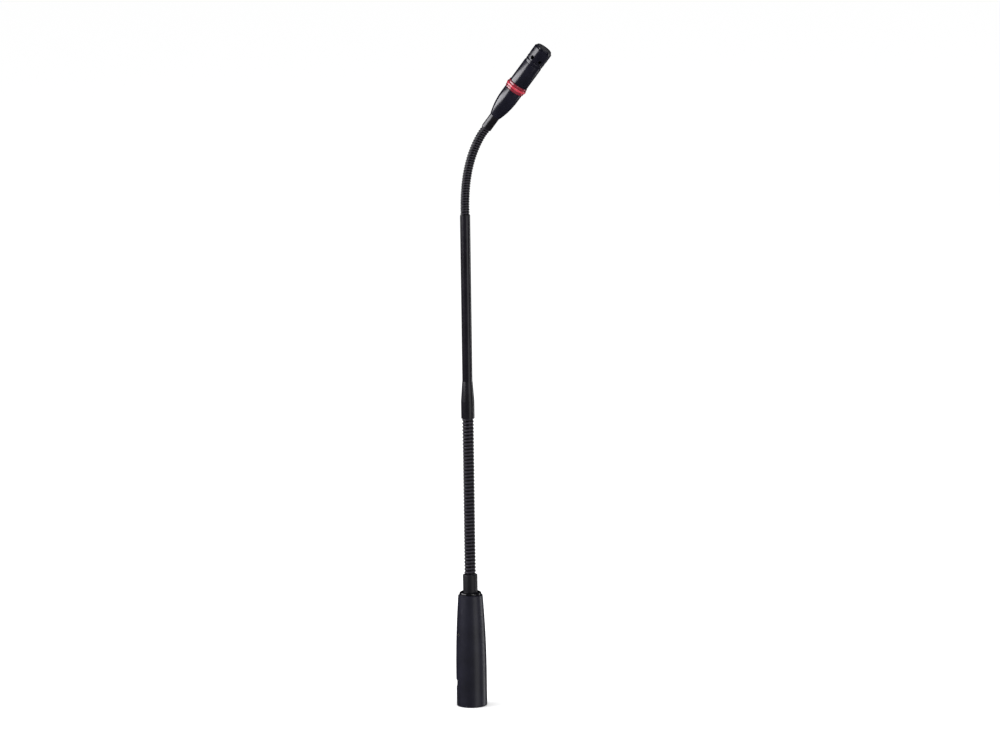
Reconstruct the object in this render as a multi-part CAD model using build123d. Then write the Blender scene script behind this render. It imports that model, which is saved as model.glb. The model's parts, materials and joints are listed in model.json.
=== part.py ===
"""Gooseneck podium microphone that plugs into a panel socket.

Frame: the origin is the centre of the plug's open rim and +Z runs up the plug's axis.
The latch window of the plug faces -X.  The neck stands straight up and its top bends
over in a vertical plane turned by bend_turn about Z.  Millimetres throughout.
"""
from build123d import *
from math import cos, radians, sin, tan
import os

# ---- plug shell ---------------------------------------------------------------------
shell_r = 9.5
shell_straight = 20.0
shell_top = 70.0
shell_top_r = 7.6
shell_rim_chamfer = 0.5
shell_edge = 0.5
mouth_r = 8.05
insert_face = 17.5
insert_top = 27.0
chamber_r = 7.7
chamber_straight_top = 50.0
chamber_top = 59.0
throat_r = 5.2
shell_seam_turn = 112.5

# ---- latch window and the flat below it, both on the -X side -------------------------
window_width = 7.6
window_low = 11.6
window_high = 16.6
window_corner = 1.2
relief_depth = 0.28

# ---- plug contacts ------------------------------------------------------------------
pin_r = 1.2
pin_circle_r = 4.7
pin_angles = (120, 240, 0)
pin_tip = 4.5
pin_tip_round = 0.7
pin_shank_r = 0.8
cup_top = 31.0
cup_bore_r = 0.8
cup_depth = 2.5
insert_clearance = 0.05
key_notch_width = 1.8
key_notch_depth = 1.1
key_notch_height = 4.0
lead_r = 0.35
lead_bend_r = 1.2
lead_height = cup_top + 1.5

# ---- preamplifier board inside the plug ----------------------------------------------
board_back = -pin_circle_r / 2 + pin_r
board_thickness = 1.0
board_front = board_back + board_thickness
board_width = 12.0
board_low = 28.4
board_high = 56.0
carrier_r = 7.5
carrier_low = 43.0
carrier_high = 48.0
pocket_width = 9.2
pocket_depth = 1.4
capacitor_r = 2.4
capacitor_low = 33.0
capacitor_length = 7.0
capacitor_offset = 2.9
chip_size = (1.4, 4.0, 5.0)
chip_low = 47.0
chip_stand_off = 0.2
leg_size = (0.25, 1.2, 0.4)
leg_pitch = 1.25
leg_rows = 4
transistor_r = 2.3
transistor_flat = 1.2
transistor_length = 4.6
transistor_low = 41.6
resistor_size = (0.6, 2.0, 1.2)
resistor_low = 31.9
resistor_pitch = 2.6
resistor_rows = 4
resistor_offset = 1.8
spring_low = 34.0
spring_width = 4.0
spring_metal = 0.3
spring_reach = 1.2
spring_pad = 1.0

# ---- small screw through the shell's side --------------------------------------------
screw_height = 45.4
screw_turn = 205
screw_head_r = 1.1
screw_shank_r = 0.75
screw_sink = 0.15
screw_head_height = 0.6
screw_slot_width = 0.4
screw_slot_depth = 0.3
screw_reach = 2.0

# ---- gland ring and collar on top of the shell ---------------------------------------
ring_r = 6.8
ring_top = 71.8
ring_chamfer = 0.3
ring_round = 1.2
spigot_r = 5.1
spigot_low = 61.5
collar_r = 4.525
collar_low = 62.0
collar_top = 82.6
collar_edge = 0.5

# ---- coiled necks --------------------------------------------------------------------
lower_pitch = 97.8 / 45
lower_outer_r = 3.55
lower_core_r = 2.9
lower_bore_r = 1.7
lower_rib_base = 0.58
lower_rib_top = 0.42
lower_gap = 0.46
lower_root_ribs = 4
lower_link_ribs = 6
lower_links = 6
lower_end_ribs = 5

upper_pitch = 1.62
upper_outer_r = 2.8
upper_core_r = 2.25
upper_bore_r = 1.4
upper_rib_base = 0.37
upper_rib_top = 0.28
upper_gap = 0.40
upper_root_ribs = 4
upper_link_ribs = 4
upper_links = 7
upper_end_ribs = 3

tang_length = 5.0
tang_clearance = 0.05
tang_end_gap = 0.2
cable_way_r = 1.6

# ---- rest shape of the neck ----------------------------------------------------------
bend_turn = -22.0
head_tilt = 37.5
bend_growth = 1.52

# ---- rigid stem between the two necks --------------------------------------------------
reducer_r = 4.125
reducer_straight = 9.1
reducer_length = 23.0
reducer_tip_r = 3.22
reducer_soft_length = 3.0
reducer_soft_drop = 0.113
stem_r = 3.12
stem_bore_r = 2.5
stem_overlap = 12.0
stem_top = 306.3
part_clearance = 0.03

# ---- head, measured along its own axis from the lower edge of the head ferrule ---------
ferrule_r = 3.17
ferrule_length = 9.5
ferrule_spigot_r = 2.3
ferrule_spigot_length = 3.0
ferrule_bore_r = 1.3
cone_wall_end = 11.0
cone_bore_tip_r = 2.7
cone_tip_r = 3.4
cone_curve_end = 24.8
head_r = 5.9
light_low = 29.6
light_high = 34.6
light_groove_r = 6.05
light_side_rib_r = 6.32
light_rib_r = 6.68
light_ribs = 3
light_spigot_r = 5.0
light_bore_r = 4.5
spigot_reach = 2.2
joint_low = 49.7
joint_high = 52.5
joint_r = 5.62
joint_land_r = 5.78
joint_spigot_r = 5.0
joint_bore_r = 4.4
joint_spigot_length = 2.8
joint_low_groove = 1.0
joint_high_groove = 0.7
cap_high = 60.8
cap_bore_r = 5.1
rim_high = 61.8
rim_low = 59.5
rim_bore_r = 4.45
port_height = 54.1
port_r = 1.0
port_count = 6
port_turn = 41.4
port_sink = 0.35
capsule_r = 4.4
capsule_low = 55.2
capsule_high = 59.1
capsule_board_r = 4.2
capsule_lead_offset = 1.3
inlet_r = 1.0
lamp_size = (1.7, 1.6, 1.0)
lamp_inner_r = 2.3
lamp_count = 4
lamp_board_low = 1.4
lamp_board_high = 0.6
grille_pitch = 1.15
grille_hole_r = 0.38
grille_low = 0.8
grille_high = 0.4

cable_r = 1.0


def turned(*edges):
    """Solid of revolution about Z of a closed outline drawn in the XZ plane."""
    return revolve(make_face(list(edges)), Axis.Z)


def turned_polygon(*outline):
    """Solid of revolution about Z of straight (radius, height) corners."""
    corners = [(radius, 0, height) for radius, height in outline]
    return turned(*Polyline(*corners, close=True).edges())


def tube(outer_r, inner_r, low, high):
    return turned_polygon((inner_r, low), (outer_r, low), (outer_r, high), (inner_r, high))


def disc(radius, low, high):
    return Pos(0, 0, low) * Cylinder(radius, high - low, align=(Align.CENTER, Align.CENTER, Align.MIN))


def block(low, high):
    """Box from its lowest corner to its highest corner."""
    size = [b - a for a, b in zip(low, high)]
    return Pos(*low) * Box(*size, align=(Align.MIN, Align.MIN, Align.MIN))


standing = (Align.MIN, Align.CENTER, Align.MIN)


def on_circle(radius, angle):
    return radius * cos(radians(angle)), radius * sin(radians(angle))


def polyline_edges(*outline):
    """Straight edges through (radius, height) points, left open."""
    return list(Polyline(*[(radius, 0, height) for radius, height in outline]).edges())


# ---- plug ------------------------------------------------------------------------------

def latch_window():
    """Cutter for the rounded window through the -X wall."""
    opening = RectangleRounded(window_high - window_low, window_width, window_corner)
    middle = (window_low + window_high) / 2
    reach = shell_r + 1 - mouth_r / 2
    return Pos(-mouth_r / 2, 0, middle) * Rot(0, -90, 0) * extrude(opening, reach)


def latch_relief():
    """Cutter for the shallow flat that guides a latch from the rim to the window."""
    half = window_width / 2
    return block((-shell_r - 1, -half, -1), (-shell_r + relief_depth, half, window_low + 1))


def screw_place():
    """Frame of the side screw: its axis points out of the shell."""
    return Pos(0, 0, screw_height) * Rot(0, 0, screw_turn) * Rot(0, 90, 0)


def shell_radius_at(height):
    """Outer radius of the shell where it tapers along its large arc."""
    drop = shell_r - shell_top_r
    rise = shell_top - shell_edge - shell_straight
    arc_r = (rise ** 2 + drop ** 2) / (2 * drop)
    return shell_r - arc_r + (arc_r ** 2 - (height - shell_straight) ** 2) ** 0.5


def plug_shell():
    side_end = (shell_top_r, 0, shell_top - shell_edge)
    inside = polyline_edges(
        (shell_top_r, shell_top - shell_edge),
        (shell_top_r - shell_edge, shell_top),
        (throat_r, shell_top),
        (throat_r, chamber_top + 1.0),
        (chamber_r - 1.5, chamber_top),
        (chamber_r, chamber_straight_top),
        (chamber_r, insert_top),
        (mouth_r, insert_top),
        (mouth_r, 0),
        (shell_r - shell_rim_chamfer, 0),
        (shell_r, shell_rim_chamfer),
        (shell_r, shell_straight),
    )
    taper = TangentArc((shell_r, 0, shell_straight), side_end, tangent=(0, 0, 1))
    shell = Rot(0, 0, shell_seam_turn) * turned(*inside, *taper.edges())
    surface = shell_radius_at(screw_height)
    screw_hole = disc(screw_shank_r + part_clearance, 0, shell_r)
    screw_seat = disc(screw_head_r + part_clearance, surface - screw_sink - screw_head_height, shell_r)
    return shell - latch_window() - latch_relief() - screw_place() * (screw_hole + screw_seat)


def shell_screw():
    """Small screw whose head lies just under the shell's surface."""
    face = shell_radius_at(screw_height) - screw_sink
    head = disc(screw_head_r, face - screw_head_height, face)
    shank = disc(screw_shank_r, carrier_r - screw_reach, face - screw_head_height)
    half = screw_slot_width / 2
    slot = block((-screw_head_r, -half, face - screw_slot_depth), (screw_head_r, half, face + 1))
    return screw_place() * (head + shank - slot)


def pin_place(index):
    return Pos(*on_circle(pin_circle_r, pin_angles[index]), 0)


def contact_insert():
    """Moulded disc that carries the three contacts, with a key notch towards the latch."""
    insert = disc(mouth_r - insert_clearance, insert_face, insert_top)
    for index in range(len(pin_angles)):
        insert -= pin_place(index) * disc(pin_shank_r + part_clearance, insert_face - 1, insert_top + 1)
    half = key_notch_width / 2
    notch_top = insert_face + key_notch_height
    return insert - block((-mouth_r, -half, insert_face - 1), (-mouth_r + key_notch_depth, half, notch_top))


def contact_pin(index):
    """Round contact with a rounded tip, a thinner shank in the insert and a solder cup above it."""
    pin = disc(pin_r, pin_tip, insert_face) + disc(pin_shank_r, insert_face, insert_top)
    pin += disc(pin_r, insert_top, cup_top)
    pin = fillet(pin.edges().sort_by(Axis.Z)[0], pin_tip_round)
    pin -= disc(cup_bore_r, cup_top - cup_depth, cup_top + 1)
    return pin_place(index) * pin


def pin_lead():
    """Wire from the third contact's cup across to the board."""
    start = (pin_circle_r, 0, cup_top - cup_depth)
    corner, end = (pin_circle_r, 0, lead_height), (board_front, 0, lead_height)
    path = FilletPolyline(start, corner, end, radius=lead_bend_r)
    section = Plane(origin=start, z_dir=(0, 0, 1)) * Circle(lead_r)
    return sweep(section, path)


def preamp_board():
    half = board_width / 2
    return block((board_back, -half, board_low), (board_front, half, board_high))


def board_carrier():
    """Half-round block behind the board that the side screw threads into."""
    carrier = disc(carrier_r, carrier_low, carrier_high)
    front = block((board_back, -carrier_r, carrier_low), (carrier_r, carrier_r, carrier_high))
    thread = screw_place() * disc(screw_shank_r + part_clearance, carrier_r - screw_reach - 0.2, shell_r)
    half, back = pocket_width / 2, board_back - pocket_depth
    pocket = block((back, -half, carrier_low), (board_back, half, carrier_high))
    return carrier - front - thread - pocket


def coupling_capacitors():
    """Two small cans lying along the board's front face."""
    can = disc(capacitor_r, capacitor_low, capacitor_low + capacitor_length)
    can = fillet(can.edges(), 0.4)
    x = board_front + capacitor_r
    return [Pos(x, side * capacitor_offset, 0) * can for side in (-1, 1)]


def preamp_chip():
    """Flat package on the board's front face, over two rows of legs."""
    body = Pos(board_front + chip_stand_off, 0, chip_low) * Box(*chip_size, align=standing)
    leg = Pos(board_front, 0, chip_low + leg_size[2]) * Box(*leg_size, align=standing)
    side_offset = (chip_size[1] + leg_size[1]) / 2
    return body + [
        Pos(0, side * side_offset, row * leg_pitch) * leg
        for side in (-1, 1)
        for row in range(leg_rows)
    ]


def preamp_transistor():
    """Half-round transistor standing on the board."""
    body = disc(transistor_r, 0, transistor_length)
    body -= block((-transistor_r, -transistor_r, 0), (-transistor_flat, transistor_r, transistor_length))
    return Pos(board_front + transistor_flat, 0, transistor_low) * body


def board_resistors():
    """Chip resistors in two rows on the lower half of the board's back face."""
    chip = Pos(board_back - resistor_size[0], 0, resistor_low) * Box(*resistor_size, align=standing)
    return [
        Pos(0, side * resistor_offset, row * resistor_pitch) * chip
        for side in (-1, 1)
        for row in range(resistor_rows)
    ]


def ground_spring():
    """Bent strip from the board's edge to the shell's inner wall."""
    edge = board_width / 2
    bend = edge + spring_reach
    middle = (board_back + board_front) / 2
    foot = block((-spring_metal / 2, edge, 0), (spring_metal / 2, bend, spring_width))
    contact = block((-spring_pad, bend, 0), (spring_pad, bend + spring_metal, spring_width))
    return Pos(middle, 0, spring_low) * (foot + contact)


def gland_ring():
    """Threaded gland whose rounded ring shows on top of the shell."""
    bore_r = collar_r + part_clearance
    ring = turned_polygon(
        (bore_r, spigot_low), (spigot_r, spigot_low), (spigot_r, shell_top),
        (ring_r - ring_chamfer, shell_top), (ring_r, shell_top + ring_chamfer), (ring_r, ring_top),
        (bore_r, ring_top),
    )
    top_edge = ring.edges().filter_by(GeomType.CIRCLE).sort_by(Axis.Z)[-2:].sort_by(SortBy.RADIUS)[-1]
    return fillet(top_edge, ring_round)


def neck_collar():
    """Tube that grips the root of the lower neck."""
    tang_r = lower_core_r + tang_clearance
    seat = collar_top - tang_length - tang_end_gap
    return turned_polygon(
        (cable_way_r, collar_low), (collar_r, collar_low), (collar_r, collar_top - collar_edge),
        (collar_r - collar_edge, collar_top), (tang_r, collar_top), (tang_r, seat), (cable_way_r, seat),
    )


# ---- coiled necks ------------------------------------------------------------------------

def coil(ribs, pitch, radii, rib_halves, low_end, high_end):
    """Length of coiled neck along Z from height 0, as ribs on a hollow core.

    low_end and high_end say how far the core stands back from the ends of the length,
    or, when negative, how far it reaches past them as a tang.
    """
    outer_r, core_r, bore_r = radii
    base_half, top_half = rib_halves
    length = ribs * pitch
    outline = [(bore_r, low_end), (core_r, low_end)]
    for rib in range(ribs):
        middle = (rib + 0.5) * pitch
        outline += [
            (core_r, middle - base_half),
            (outer_r, middle - top_half),
            (outer_r, middle + top_half),
            (core_r, middle + base_half),
        ]
    outline += [(core_r, length - high_end), (bore_r, length - high_end)]
    return turned_polygon(*outline)


def lower_coil(ribs, low_end=lower_gap, high_end=lower_gap):
    radii = (lower_outer_r, lower_core_r, lower_bore_r)
    return coil(ribs, lower_pitch, radii, (lower_rib_base, lower_rib_top), low_end, high_end)


def upper_coil(ribs, low_end=upper_gap, high_end=upper_gap):
    radii = (upper_outer_r, upper_core_r, upper_bore_r)
    return coil(ribs, upper_pitch, radii, (upper_rib_base, upper_rib_top), low_end, high_end)


def in_bend_plane(x, z, tilt):
    """Place with its Z axis leaving point (x, z) of the bend plane, tilted from +Z."""
    return Rot(0, 0, bend_turn) * Pos(x, 0, z) * Rot(0, tilt, 0)


def lower_stations():
    """Heights of the lower neck's pivots."""
    first = collar_top + lower_root_ribs * lower_pitch
    return [first + link * lower_link_ribs * lower_pitch for link in range(lower_links + 1)]


def upper_stations():
    """(x, z, tilt) of each upper pivot, with the tilt of the length that follows it.

    The bend grows towards the head, so the tilt is a power of the distance along the neck.
    """
    ribs = upper_root_ribs + upper_links * upper_link_ribs + upper_end_ribs
    step = upper_link_ribs * upper_pitch
    along = upper_root_ribs * upper_pitch
    x, z = 0.0, stem_top + along
    stations = []
    for link in range(upper_links):
        tilt = head_tilt * ((along + step / 2) / (ribs * upper_pitch)) ** bend_growth
        stations.append((x, z, tilt))
        x += step * sin(radians(tilt))
        z += step * cos(radians(tilt))
        along += step
    return stations + [(x, z, head_tilt)]


def head_start():
    """(x, z) where the head's ferrule begins."""
    x, z, tilt = upper_stations()[-1]
    run = upper_end_ribs * upper_pitch
    return x + run * sin(radians(tilt)), z + run * cos(radians(tilt))


def head_place():
    return in_bend_plane(*head_start(), head_tilt)


# ---- rigid stem ----------------------------------------------------------------------------

def reducer_ferrule():
    """Turned ferrule that narrows from the lower neck to the stem tube."""
    low = lower_stations()[-1] + lower_end_ribs * lower_pitch
    shoulder = low + reducer_straight
    tang_r = lower_core_r + tang_clearance
    seat = low + tang_length + tang_end_gap
    tube_seat = low + reducer_length - stem_overlap
    soft_end = (reducer_r - reducer_soft_drop, shoulder + reducer_soft_length)
    outline = polyline_edges(
        soft_end,
        (reducer_tip_r, low + reducer_length),
        (stem_r + part_clearance, low + reducer_length),
        (stem_r + part_clearance, tube_seat),
        (cable_way_r, tube_seat),
        (cable_way_r, seat),
        (tang_r, seat),
        (tang_r, low),
        (reducer_r - 0.3, low),
        (reducer_r, low + 0.3),
        (reducer_r, shoulder),
    )
    soft = TangentArc((reducer_r, 0, shoulder), (soft_end[0], 0, soft_end[1]), tangent=(0, 0, 1))
    return turned(*outline, *soft.edges())


def stem_tube():
    low = lower_stations()[-1] + lower_end_ribs * lower_pitch + reducer_length - stem_overlap
    return turned_polygon(
        (stem_bore_r, low), (stem_r, low), (stem_r, stem_top - 0.4), (stem_r - 0.3, stem_top),
        (stem_bore_r, stem_top),
    )


# ---- head, each piece built along Z from the ferrule's lower edge -------------------------------

def head_ferrule():
    """Ferrule between the upper neck and the tail cone, with a spigot into the cone."""
    tang_r = upper_core_r + tang_clearance
    return turned_polygon(
        (tang_r, 0), (ferrule_r - 0.3, 0), (ferrule_r, 0.3), (ferrule_r, ferrule_length),
        (ferrule_spigot_r, ferrule_length), (ferrule_spigot_r, ferrule_length + ferrule_spigot_length),
        (ferrule_bore_r, ferrule_length + ferrule_spigot_length),
        (ferrule_bore_r, tang_length + tang_end_gap), (tang_r, tang_length + tang_end_gap),
    )


def tail_cone():
    """Hollow rear housing that swells from the ferrule to the head's full width."""
    low = ferrule_length
    seat_r = light_spigot_r + part_clearance
    tip_bore_r = ferrule_spigot_r + part_clearance
    outline = polyline_edges(
        (head_r, cone_curve_end),
        (head_r, light_low),
        (seat_r, light_low),
        (seat_r, light_low - spigot_reach - 0.1),
        (light_bore_r, light_low - spigot_reach - 0.1),
        (light_bore_r, low + cone_wall_end),
        (cone_bore_tip_r, low + ferrule_spigot_length),
        (tip_bore_r, low + ferrule_spigot_length),
        (tip_bore_r, low),
        (cone_tip_r, low),
    )
    swell = TangentArc((head_r, 0, cone_curve_end), (cone_tip_r, 0, low), tangent=(0, 0, -1))
    return turned(*outline, *swell.edges())


def light_ring():
    """Clear ring with three rounded ribs, the middle one the largest, and a spigot at each end."""
    rib_height = (light_high - light_low) / light_ribs
    ribs = []
    for index, crest in enumerate((light_side_rib_r, light_rib_r, light_side_rib_r)):
        low = light_low + index * rib_height
        start, end = (light_groove_r, 0, low), (light_groove_r, 0, low + rib_height)
        ribs += ThreePointArc(start, (crest, 0, low + rib_height / 2), end).edges()
    inside = polyline_edges(
        (light_groove_r, light_high),
        (light_spigot_r, light_high),
        (light_spigot_r, light_high + spigot_reach),
        (light_bore_r, light_high + spigot_reach),
        (light_bore_r, light_low - spigot_reach),
        (light_spigot_r, light_low - spigot_reach),
        (light_spigot_r, light_low),
        (light_groove_r, light_low),
    )
    return turned(*ribs, *inside)


def lamp_board():
    """Round board inside the clear ring."""
    middle = (light_low + light_high) / 2
    return tube(light_bore_r - 0.1, ferrule_bore_r, middle - lamp_board_low, middle - lamp_board_high)


def ring_lamps():
    """Four small lamps spaced round the lamp board."""
    board_top = (light_low + light_high) / 2 - lamp_board_high
    lamp = Pos(lamp_inner_r, 0, board_top) * Box(*lamp_size, align=standing)
    return [Rot(0, 0, (index + 0.5) * 360 / lamp_count) * lamp for index in range(lamp_count)]


def barrel():
    """Tube from the clear ring to the capsule joint."""
    seat_r, front_seat_r = light_spigot_r + part_clearance, joint_spigot_r + part_clearance
    seat_end, front_seat_end = light_high + spigot_reach + 0.1, joint_low - joint_spigot_length - 0.2
    return turned_polygon(
        (seat_r, light_high), (head_r, light_high), (head_r, joint_low), (front_seat_r, joint_low),
        (front_seat_r, front_seat_end), (light_bore_r, front_seat_end), (light_bore_r, seat_end),
        (seat_r, seat_end),
    )


def capsule_joint():
    """Threaded ring that joins the capsule cap to the barrel, grooved either side of a land."""
    land_low, land_high = joint_low + joint_low_groove, joint_high - joint_high_groove
    low, high = joint_low - joint_spigot_length, joint_high + 0.5
    return turned_polygon(
        (joint_bore_r, low), (joint_spigot_r, low), (joint_spigot_r, joint_low),
        (joint_r, joint_low), (joint_r, land_low), (joint_land_r, land_low + 0.15),
        (joint_land_r, land_high - 0.15), (joint_r, land_high), (joint_r, joint_high),
        (joint_spigot_r, joint_high), (joint_spigot_r, high), (joint_bore_r, high),
    )


def front_cap():
    """Cap over the capsule, with countersunk ports all round its rear."""
    cap = turned_polygon(
        (cap_bore_r, joint_high), (head_r, joint_high), (head_r, cap_high - 0.4), (head_r - 0.4, cap_high),
        (cap_bore_r, cap_high),
    )
    drill = disc(port_r, 0, head_r + 1)
    sink = Pos(0, 0, head_r - port_sink) * Cone(
        port_r, port_r + 2 * port_sink, 2 * port_sink, align=(Align.CENTER, Align.CENTER, Align.MIN)
    )
    for index in range(port_count):
        angle = port_turn - 90 + index * 360 / port_count
        cap -= Pos(0, 0, port_height) * Rot(0, 0, angle) * Rot(0, 90, 0) * (drill + sink)
    return cap


def capsule_gasket():
    """Soft sleeve that seals the capsule in the cap."""
    return tube(cap_bore_r - part_clearance, capsule_r + part_clearance, capsule_low, capsule_high)


def capsule():
    """Electret cartridge with a sound inlet in its front."""
    can = fillet(disc(capsule_r, capsule_low, capsule_high).edges().sort_by(Axis.Z)[-1], 0.4)
    return can - disc(inlet_r, capsule_high - 0.8, capsule_high + 1)


def capsule_board():
    """Small round board behind the capsule."""
    return disc(capsule_board_r, joint_low + 0.4, joint_low + 1.2)


def capsule_leads():
    """Pair of stiff leads between the capsule and its board."""
    lead = disc(0.3, joint_low + 1.2, capsule_low)
    return [Pos(0, side * capsule_lead_offset, 0) * lead for side in (-1, 1)]


def foam_disc():
    return disc(rim_bore_r - 0.1, capsule_high + 0.5, rim_high - grille_low - 0.1)


def grille_rim():
    """Ring that clamps the grille and stands just proud of the cap."""
    outer_r = cap_bore_r - part_clearance
    return turned_polygon(
        (rim_bore_r, rim_low), (outer_r, rim_low), (outer_r, rim_high - 0.3), (outer_r - 0.3, rim_high),
        (rim_bore_r, rim_high),
    )


def grille_mesh():
    """Perforated disc in the grille rim, drilled on a triangular pattern."""
    plate = disc(rim_bore_r - part_clearance, rim_high - grille_low, rim_high - grille_high)
    row_pitch = grille_pitch * sin(radians(60))
    reach = 4
    holes = []
    for row in range(-reach, reach + 1):
        for column in range(-reach, reach + 1):
            x = (column + (row % 2) / 2) * grille_pitch
            y = row * row_pitch
            if (x * x + y * y) ** 0.5 < rim_bore_r - grille_hole_r - 0.2:
                holes.append(Pos(x, y, 0) * disc(grille_hole_r, rim_high - 1, rim_high))
    return plate - holes


# ---- cable through the whole neck ---------------------------------------------------------------

def cable_points():
    """Route of the cable from the board's upper end to the lamp board."""
    pivots = [(x, z) for x, z, _ in upper_stations()]
    start_x, start_z = head_start()
    reach = light_low - 3.0
    end = (start_x + reach * sin(radians(head_tilt)), start_z + reach * cos(radians(head_tilt)))
    return [(0.0, board_high + 2.5)] + pivots + [end]


def signal_cable():
    """Shielded cable as straight runs joined by the largest tangent arcs that fit."""
    route = cable_points()
    corners = [Vector(x, 0, z) for x, z in route]
    radii = []
    for before, corner, after in zip(corners, corners[1:], corners[2:]):
        turn = (corner - before).get_angle(after - corner)
        run = min((corner - before).length, (after - corner).length)
        radii.append(0.45 * run / tan(radians(turn / 2)))
    path = FilletPolyline(*corners, radius=radii)
    section = Plane(origin=corners[0], z_dir=(0, 0, 1)) * Circle(cable_r)
    return Rot(0, 0, bend_turn) * sweep(section, path)


# ---- the assembly ---------------------------------------------------------------------------------

def plug_pieces():
    pieces = {
        "plug_shell": plug_shell(),
        "shell_screw": shell_screw(),
        "contact_insert": contact_insert(),
        "pin_lead": pin_lead(),
        "preamp_board": preamp_board(),
        "board_carrier": board_carrier(),
        "coupling_capacitors": coupling_capacitors(),
        "preamp_chip": preamp_chip(),
        "preamp_transistor": preamp_transistor(),
        "board_resistors": board_resistors(),
        "ground_spring": ground_spring(),
        "gland_ring": gland_ring(),
        "neck_collar": neck_collar(),
        "signal_cable": signal_cable(),
    }
    for index in range(len(pin_angles)):
        pieces[f"contact_pin_{index + 1}"] = contact_pin(index)
    return pieces


def lower_neck_pieces():
    heights = lower_stations()
    pieces = {"lower_coil_root": Pos(0, 0, collar_top) * lower_coil(lower_root_ribs, low_end=-tang_length)}
    for index in range(lower_links):
        pieces[f"lower_coil_{index + 1}"] = Pos(0, 0, heights[index]) * lower_coil(lower_link_ribs)
    pieces["lower_coil_end"] = Pos(0, 0, heights[-1]) * lower_coil(lower_end_ribs, high_end=-tang_length)
    turn = Rot(0, 0, bend_turn)
    return {name: turn * piece for name, piece in pieces.items()}


def stem_pieces():
    root = Pos(0, 0, stem_top) * upper_coil(upper_root_ribs, low_end=-tang_length)
    return {
        "reducer_ferrule": reducer_ferrule(),
        "stem_tube": stem_tube(),
        "upper_coil_root": Rot(0, 0, bend_turn) * root,
    }


def upper_neck_pieces():
    stations = upper_stations()
    pieces = {}
    for index in range(upper_links):
        pieces[f"upper_coil_{index + 1}"] = in_bend_plane(*stations[index]) * upper_coil(upper_link_ribs)
    end = upper_coil(upper_end_ribs, high_end=-tang_length)
    pieces["upper_coil_end"] = in_bend_plane(*stations[-1]) * end
    return pieces


def head_pieces():
    pieces = {
        "head_ferrule": head_ferrule(),
        "tail_cone": tail_cone(),
        "light_ring": light_ring(),
        "lamp_board": lamp_board(),
        "ring_lamps": ring_lamps(),
        "barrel": barrel(),
        "capsule_joint": capsule_joint(),
        "front_cap": front_cap(),
        "capsule_gasket": capsule_gasket(),
        "capsule": capsule(),
        "capsule_board": capsule_board(),
        "capsule_leads": capsule_leads(),
        "foam_disc": foam_disc(),
        "grille_mesh": grille_mesh(),
        "grille_rim": grille_rim(),
    }
    return {name: placed(head_place(), piece) for name, piece in pieces.items()}


def placed(place, piece):
    if isinstance(piece, list):
        return [place * item for item in piece]
    return place * piece


def export_pieces():
    os.makedirs("parts", exist_ok=True)
    pieces = {
        **plug_pieces(), **lower_neck_pieces(), **stem_pieces(), **upper_neck_pieces(), **head_pieces(),
    }
    for name, piece in pieces.items():
        solid = Compound(children=piece) if isinstance(piece, list) else piece
        export_step(solid, f"parts/{name}.step")
    print("pieces:", len(pieces))


export_pieces()
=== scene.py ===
"""Looks of the gooseneck podium microphone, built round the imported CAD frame.

The visible turned parts get finely rounded surfaces, each flexible neck becomes a real
coil of round wire with a wedge wire between its turns, and the head gets its clear red
light ring and a woven grille.  Lengths named *_mm are millimetres, the rest metres.
"""
import json
from math import cos, pi, radians, sin, sqrt, tan

import bmesh
import bpy
from mathutils import Matrix, Vector

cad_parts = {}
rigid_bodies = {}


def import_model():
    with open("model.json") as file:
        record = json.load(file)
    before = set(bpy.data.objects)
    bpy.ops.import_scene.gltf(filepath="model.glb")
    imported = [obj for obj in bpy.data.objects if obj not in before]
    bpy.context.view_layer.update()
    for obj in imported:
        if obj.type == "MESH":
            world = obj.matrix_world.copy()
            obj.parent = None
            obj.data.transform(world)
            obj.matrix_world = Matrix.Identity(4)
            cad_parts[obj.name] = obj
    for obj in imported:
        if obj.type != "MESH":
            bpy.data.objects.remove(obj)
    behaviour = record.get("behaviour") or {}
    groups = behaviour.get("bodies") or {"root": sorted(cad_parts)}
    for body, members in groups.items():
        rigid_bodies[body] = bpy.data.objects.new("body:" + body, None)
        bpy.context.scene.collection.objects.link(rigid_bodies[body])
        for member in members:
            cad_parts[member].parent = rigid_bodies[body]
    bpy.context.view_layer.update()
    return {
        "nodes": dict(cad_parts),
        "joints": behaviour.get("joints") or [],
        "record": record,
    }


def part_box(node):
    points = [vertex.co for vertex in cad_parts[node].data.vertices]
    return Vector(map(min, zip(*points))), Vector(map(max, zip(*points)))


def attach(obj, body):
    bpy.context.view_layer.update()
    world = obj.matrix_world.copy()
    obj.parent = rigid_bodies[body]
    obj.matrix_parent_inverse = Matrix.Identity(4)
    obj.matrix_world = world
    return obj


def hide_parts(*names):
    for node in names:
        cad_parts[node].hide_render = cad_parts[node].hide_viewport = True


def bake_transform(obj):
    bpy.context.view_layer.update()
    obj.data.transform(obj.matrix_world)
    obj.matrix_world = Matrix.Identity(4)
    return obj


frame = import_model()

MM = 0.001
UP = Vector((0, 0, 1))


# ---- places taken from the frame ---------------------------------------------------------------

def chain_joints(prefix):
    """Joints of one neck's chain, from its root to its end."""
    return [joint for joint in frame["joints"] if joint["name"].startswith(prefix)]


def pivots(prefix):
    """Pivot points of one neck's chain."""
    return [Vector(joint["pos_m"]) for joint in chain_joints(prefix)]


def chain_bodies(prefix):
    """Bodies of one neck's chain, from the one that holds its root to the one at its end."""
    joints = chain_joints(prefix)
    return [joints[0]["parent"]] + [joint["child"] for joint in joints]


def box_centre(node):
    low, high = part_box(node)
    return (Vector(low) + Vector(high)) / 2


def top_of(node):
    return Vector((0, 0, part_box(node)[1][2]))


def bottom_of(node):
    return Vector((0, 0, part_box(node)[0][2]))


def span_mm(node):
    """Heights of an upright node's bottom and top."""
    return bottom_of(node).z / MM, top_of(node).z / MM


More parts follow.
